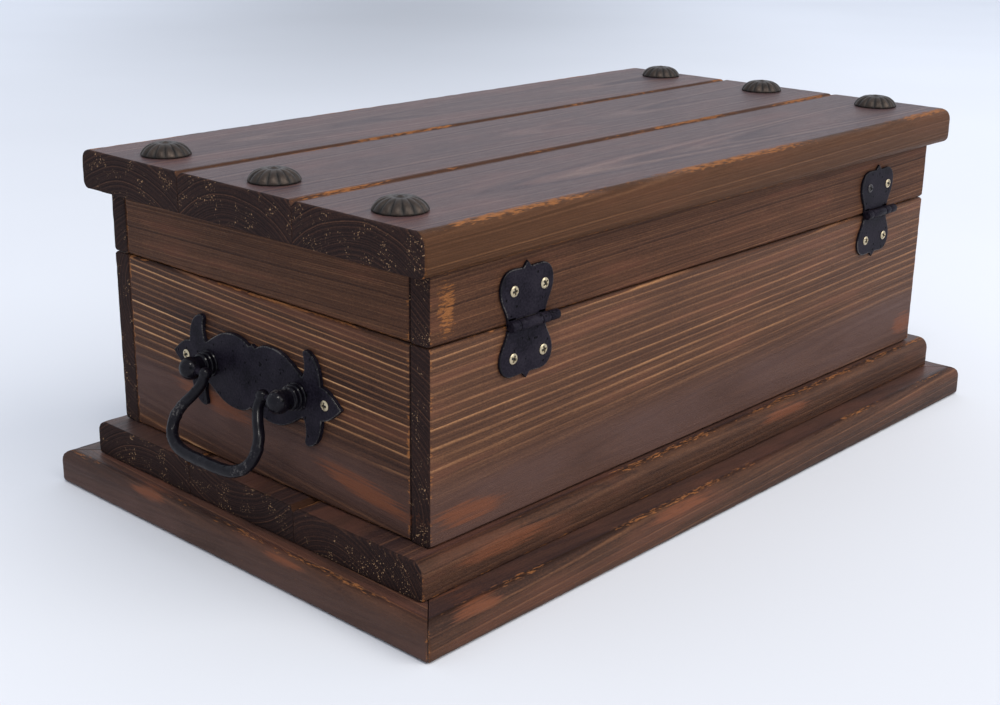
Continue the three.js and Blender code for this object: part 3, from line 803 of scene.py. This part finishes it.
def plateOutline():
    quarter = [(0.0, 17.2), (0.9, 16.3), (2.6, 15.6)]
    quarter += bezier((2.6, 15.6), (7, 19.2), (14, 19.5), (20, 18.3), 12)
    quarter += bezier((20, 18.3), (26, 16.9), (31, 12.8), (36, 9.9), 10)
    quarter += bezier((36, 9.9), (38.4, 12.5), (38.2, 17.5), (37, 21.2), 9)
    quarter += bezier((37, 21.2), (36.7, 23.2), (39, 23.9), (41, 23), 6)
    quarter += bezier((41, 23), (45.5, 21.4), (48.6, 16.5), (48.9, 8.2), 12)
    quarter += bezier((48.9, 8.2), (53.5, 8.2), (57.8, 4.4), (62.6, 0), 10)
    upper = [(-x, y) for x, y in reversed(quarter)][:-1] + quarter
    lower = [(x, -y) for x, y in reversed(upper)][1:-1]
    return (upper + lower)[::-1]


def handleFrame(end):
    low, high = (np.array(place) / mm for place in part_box(f"handle_{end}_plate"))
    side = 1 if end == "right" else -1
    wood = low[0] if side > 0 else high[0]
    ballLow, ballHigh = (np.array(place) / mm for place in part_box(f"handle_{end}_post_front"))
    ball = (ballHigh[0] if side > 0 else ballLow[0]) - side * handleDesign["ball"]
    return side, wood, np.array([ball, *((low + high) / 2)[1:]])


def pinHole(piece, centre, side, towards):
    # bored sideways into the ball for the bail's pin
    points, faces, _ = barrel(handleDesign["pin"] + handleDesign["pinGap"], 0, 9, 20)
    points = np.stack([points[:, 1], -towards * points[:, 0], points[:, 2]], 1) + centre
    mesh = bpy.data.meshes.new("bore")
    mesh.from_pydata((points * mm).tolist(), [], faces)
    bore = bpy.data.objects.new("bore", mesh)
    bpy.context.scene.collection.objects.link(bore)
    modifier = piece.modifiers.new("bore", "BOOLEAN")
    modifier.operation, modifier.object, modifier.solver = "DIFFERENCE", bore, "EXACT"
    bpy.context.view_layer.update()
    bored = bpy.data.meshes.new_from_object(piece.evaluated_get(bpy.context.evaluated_depsgraph_get()))
    piece.modifiers.clear()
    piece.data = bored
    bpy.data.objects.remove(bore)


def makePost(end, place, towards):
    d = handleDesign
    side, wood, centre = handleFrame(end)
    foot = abs(wood) + d["plate"] - abs(centre[0])  # the plate's face, from the ball's centre
    profile = [(0, foot)]
    for index, radius in enumerate(d["rings"]):
        low = foot + index * d["ringPitch"]
        for angle in (-90, -50, 0, 50, 90):
            turnedOut = math.radians(angle)
            profile.append((radius - 0.7 + 0.7 * math.cos(turnedOut),
                            low + d["ringWidth"] / 2 * (1 + math.sin(turnedOut))))
        profile.append((d["stem"] + 0.1, low + d["ringWidth"] + 0.25))
    start = math.pi - math.asin(d["stem"] / d["ball"])
    for step in range(15):
        angle = start * (1 - step / 14)
        profile.append((d["ball"] * math.sin(angle), d["ball"] * math.cos(angle)))
    points, faces = turned(profile, 44)
    points = np.stack([side * points[:, 2], side * points[:, 0], points[:, 1]], 1)
    node = f"handle_{end}_post_{place}"
    middle = centre + (0, towards * d["postY"], 0)
    rim = np.full(len(points), d["ironRim"])
    piece = addPiece("iron_" + node, points + middle, faces, "black_iron", "body", [node], {"rim": rim})
    pinHole(piece, middle, side, towards)


def bailPath():
    half = [(handleDesign["elbow"], 0), (21.6, -5.5), (24.8, -11.9), (29.4, -18.6), (31, -25.8),
            (28.5, -32.4), (21.8, -36.7), (11.5, -38.3), (0, -38.4)]
    knots = np.array(half + [(-y, z) for y, z in reversed(half[:-1])], float)
    knots = np.vstack([2 * knots[0] - knots[1], knots, 2 * knots[-1] - knots[-2]])
    path = []
    for a, b, c, e in zip(knots, knots[1:], knots[2:], knots[3:]):
        # centripetal Catmull-Rom
        times = [0.0]
        for first, second in ((a, b), (b, c), (c, e)):
            times.append(times[-1] + math.sqrt(np.linalg.norm(second - first)))
        for t in np.linspace(times[1], times[2], 9)[:-1]:
            def between(u, v, first, second):
                return ((second - t) * u + (t - first) * v) / (second - first)
            ab = between(a, b, times[0], times[1])
            bc = between(b, c, times[1], times[2])
            ce = between(c, e, times[2], times[3])
            abc = between(ab, bc, times[0], times[2])
            bce = between(bc, ce, times[1], times[3])
            path.append(between(abc, bce, times[1], times[2]))
    return np.array([*path, knots[-2]])


def bailTube():
    d = handleDesign
    path = bailPath()
    sides = 18
    direction = np.gradient(path, axis=0)
    direction /= np.linalg.norm(direction, axis=1)[:, None]
    points = [(0, *path[0])]
    for (y, z), (dy, dz) in zip(path, direction):
        low = min(1.0, max(0.0, -z / 36))
        hammered = low * low
        for side in range(sides):
            angle = 2 * math.pi * side / sides
            radius = d["tubeTop"] + (d["tubeLow"] - d["tubeTop"]) * hammered
            radius += d["ringRise"] * math.exp(-((z - d["ringZ"]) / 0.9) ** 2)
            x, out = math.cos(angle), math.sin(angle)
            beaten = noise.noise((x * 1.8 + 7, y * 0.55, z * 0.55 + out * 1.8))
            radius -= max(0, beaten) * d["hammer"] * hammered
            points.append((x * radius, y - dz * out * radius, z + dy * out * radius))
    points.append((0, *path[-1]))
    faces = [face[::-1] for face in ringFaces(len(path), sides, 1)]
    last = 1 + (len(path) - 1) * sides
    for side in range(sides):
        following = (side + 1) % sides
        faces.append([0, 1 + side, 1 + following])
        faces.append([last + following, last + side, len(points) - 1])
    return np.array(points), faces, np.full(len(points), d["ironRim"])


def makeBail(end):
    d = handleDesign
    side, _, centre = handleFrame(end)
    shapes = [bailTube()]
    for way in (1, -1):
        pin, faces, rim = barrel(d["pin"], d["elbow"], d["pinEnd"], 20)
        pin = np.stack([pin[:, 1], way * pin[:, 0], way * pin[:, 2]], 1)
        shapes.append((pin, [face[::-1] for face in faces], rim))
        bead = [(d["bead"] * math.sin(math.pi * step / 12), -d["bead"] * math.cos(math.pi * step / 12))
                for step in range(1, 12)]
        points, faces = turned([(0, -d["bead"]), *bead, (0, d["bead"])], 20)
        points = points[:, [0, 2, 1]] * (1, 1, -1) + (0, way * d["elbow"], 0)
        shapes.append((points, faces, np.full(len(points), d["ironRim"])))
    points, faces, rim = joinShapes(shapes)
    cosine, sine = math.cos(math.radians(d["lean"])), math.sin(math.radians(d["lean"]))
    x, y, z = points.T
    points = np.stack([x * cosine - z * sine, y, x * sine + z * cosine], 1)
    if side < 0:
        points[:, :2] *= -1
    node = f"handle_{end}_bail"
    addPiece("iron_" + node, points + centre, faces, "black_iron", f"bail_{end}", [node], {"rim": rim})


def makeHandle(end):
    d = handleDesign
    side, wood, centre = handleFrame(end)
    points, faces, rim = castPlate(plateOutline(), d["plate"], d["bevel"])
    # drawn with X along the chest's end and Y up; its face looks out of the chest
    plate = np.stack([side * points[:, 2], side * points[:, 0], points[:, 1]], 1)
    plate += (wood, centre[1], centre[2])
    node = f"handle_{end}_plate"
    addPiece("iron_" + node, plate, faces, "black_iron", "body", [node], {"rim": rim})
    for place, towards in (("back", 1), ("front", -1)):
        makePost(end, place, towards)
        spot = (wood + side * d["plate"], centre[1] + towards * d["screwY"], centre[2])
        addScrew(f"handle_{end}_screw_{place}", "body", spot, [(0, side, 0), (0, 0, 1), (side, 0, 0)],
                 towards * 0.6 + side)
    makeBail(end)


for end in ("right", "left"):
    makeHandle(end)
print("handles made")

# profile: (radius, height) from the crown down to the rim
nailDesign = {"lobes": 14, "flute": 0.75, "scallop": 0.028, "profile": [
    (0, 6.8), (0.7, 6.7), (1.3, 6.4), (1.9, 6.1), (2.4, 5.95), (2.8, 5.92), (3.3, 6.0), (4.2, 6.08),
    (5.2, 6.02), (6.2, 5.86), (7.2, 5.6), (8.2, 5.22), (9.1, 4.78), (9.9, 4.25), (10.6, 3.68),
    (11.2, 3.05), (11.7, 2.4), (12.1, 1.75), (12.35, 1.2), (12.5, 0.7), (12.4, 0.3), (12.0, 0.05)]}


def nailHead(spin):
    d = nailDesign
    sides = d["lobes"] * 8
    heights = d["profile"]
    points, crest = [(0, 0, heights[0][1])], [1.0]
    for radius, height in heights[1:]:
        low = min(1, max(0, (radius - 4.5) / 4.5))
        for side in range(sides):
            angle = 2 * math.pi * side / sides + spin
            wave = abs(math.sin(d["lobes"] * (angle - spin) / 2))
            hollow = (1 - wave) ** 1.6 * low
            scallop = 1 - d["scallop"] * hollow
            points.append((radius * scallop * math.cos(angle), radius * scallop * math.sin(angle),
                           height - d["flute"] * hollow * min(1, height / 2.5)))
            crest.append(max(0, 1 - 1.1 * hollow - 0.6 * (2.2 < radius < 3.1) - 0.5 * (height < 0.9)))
    rings = len(heights) - 1
    faces = [[0, 1 + side, 1 + (side + 1) % sides] for side in range(sides)]
    faces += [face[::-1] for face in ringFaces(rings, sides, 1)]
    last = 1 + (rings - 1) * sides
    faces.append([last + side for side in range(sides)][::-1])
    return np.array(points), faces, np.array(crest)


for end in ("right", "left"):
    for row in ("front", "middle", "back"):
        node = f"lid_nail_{end}_{row}"
        low, high = (np.array(place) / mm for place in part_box(node))
        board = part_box(f"lid_board_{row}")[1][2] / mm
        points, faces, crest = nailHead(low[0] * 0.37 + low[1])
        points = points + ((low[0] + high[0]) / 2, (low[1] + high[1]) / 2, board)
        addPiece("bronze_" + node, points, faces, "nail_bronze", "lid", [node], {"rim": crest})
print("nails made")


# paintedFloorShade: painted shade on the paper, darker places standing in for where the studio light falls
# off: where and how big across and along the view, and how dark
studio = {"floor": 9.0, "floorColour": (0.87, 0.89, 0.945), "across": (-0.68, 0.733, 0),
          "along": (-0.736, -0.677, 0),
          "paintedFloorShade": [((-0.23, 2.30), (0.90, 2.1), 0.38), ((0.0, 0.0), (2.0, 2.0), 0.17),
                    ((0.30, -0.45), (0.95, 0.75), 0.13)],
          "world": (0.84, 0.90, 1.0), "worldStrength": 0.88, "lightColour": (1.0, 0.96, 0.90),
          "lampPower": 13, "lampPlace": (0.81, 0.745, 1.905), "lampSize": 0.5,
          "keyPower": 50, "keyPlace": (-0.5, 2.1, 2.0), "keySize": 2.4}


def paperFinish():
    material, nodes, shader = newFinish("paper_floor_finish", {"Roughness": 0.8, "Specular IOR Level": 0.2})
    place = onPiece(nodes)
    clouds = place.stretched(0.5, 0.5, 0.5).speckle()
    fine = place.stretched(0.004, 0.004, 0.004).speckle()
    dull = tuple(value * 0.965 for value in studio["floorColour"])
    base = clouds.ramp([(0.3, dull), (0.7, studio["floorColour"])])
    across, along = place.dot(*studio["across"]), place.dot(*studio["along"])
    # painted shade: each patch darkens the paper where the studio light falls off
    for (x, y), (wide, deep), dark in studio["paintedFloorShade"]:
        away = (((across - x) / wide) ** 2 + ((along - y) / deep) ** 2) ** 0.5
        base = base.mixed((0, 0, 0), (1 - away.rise(0.0, 1.0)) * dark)
    wire(nodes, shader, Base_Color=base, Normal=fine.bumped(0.05, 0.0003))
    return material


def makeFloor():
    half, count = studio["floor"], 13
    mesh = bpy.data.meshes.new("paper_floor")
    steps = np.linspace(-half, half, count)
    points = [(x, y, 0) for x in steps for y in steps]
    firsts = [i * count + j for i in range(count - 1) for j in range(count - 1)]
    mesh.from_pydata(points, [], [[a, a + count, a + count + 1, a + 1] for a in firsts])
    mesh.materials.append(paperFinish())
    floor = bpy.data.objects.new("paper_floor", mesh)
    bpy.context.scene.collection.objects.link(floor)


def makeLight():
    world = bpy.data.worlds.new("studio")
    world.use_nodes = True
    background = world.node_tree.nodes["Background"]
    background.inputs["Color"].default_value = (*studio["world"], 1)
    background.inputs["Strength"].default_value = studio["worldStrength"]
    bpy.context.scene.world = world
    for name in ("key", "lamp"):
        light = bpy.data.lights.new(name, "AREA")
        light.shape, light.size, light.energy = "DISK", studio[name + "Size"], studio[name + "Power"]
        light.color = studio["lightColour"]
        lit = bpy.data.objects.new(name, light)
        lit.location = studio[name + "Place"]
        lit.rotation_euler = (Vector((0, 0, 0.08)) - lit.location).to_track_quat("-Z", "Y").to_euler()
        bpy.context.scene.collection.objects.link(lit)


view = {"azimuth": 132.583, "elevation": 18.462, "roll": 0.821, "distance": 0.89244,
        "aim": (0.00858, -0.03137, 0.04464), "lens": 54.59}


def makeCamera():
    azimuth, elevation = math.radians(view["azimuth"]), math.radians(view["elevation"])
    back = Vector((math.sin(azimuth) * math.cos(elevation), -math.cos(azimuth) * math.cos(elevation),
                   math.sin(elevation)))
    data = bpy.data.cameras.new("camera")
    data.lens, data.sensor_width, data.clip_end = view["lens"], 36, 60
    camera = bpy.data.objects.new("camera", data)
    bpy.context.scene.collection.objects.link(camera)
    turn = back.to_track_quat("Z", "Y").to_matrix().to_4x4()
    roll = Matrix.Rotation(math.radians(view["roll"]), 4, "Z")
    camera.matrix_world = Matrix.Translation(Vector(view["aim"]) + back * view["distance"]) @ turn @ roll
    bpy.context.scene.camera = camera


makeFloor()
makeLight()
makeCamera()
bpy.context.scene.view_settings.view_transform = "Standard"
print("studio made")
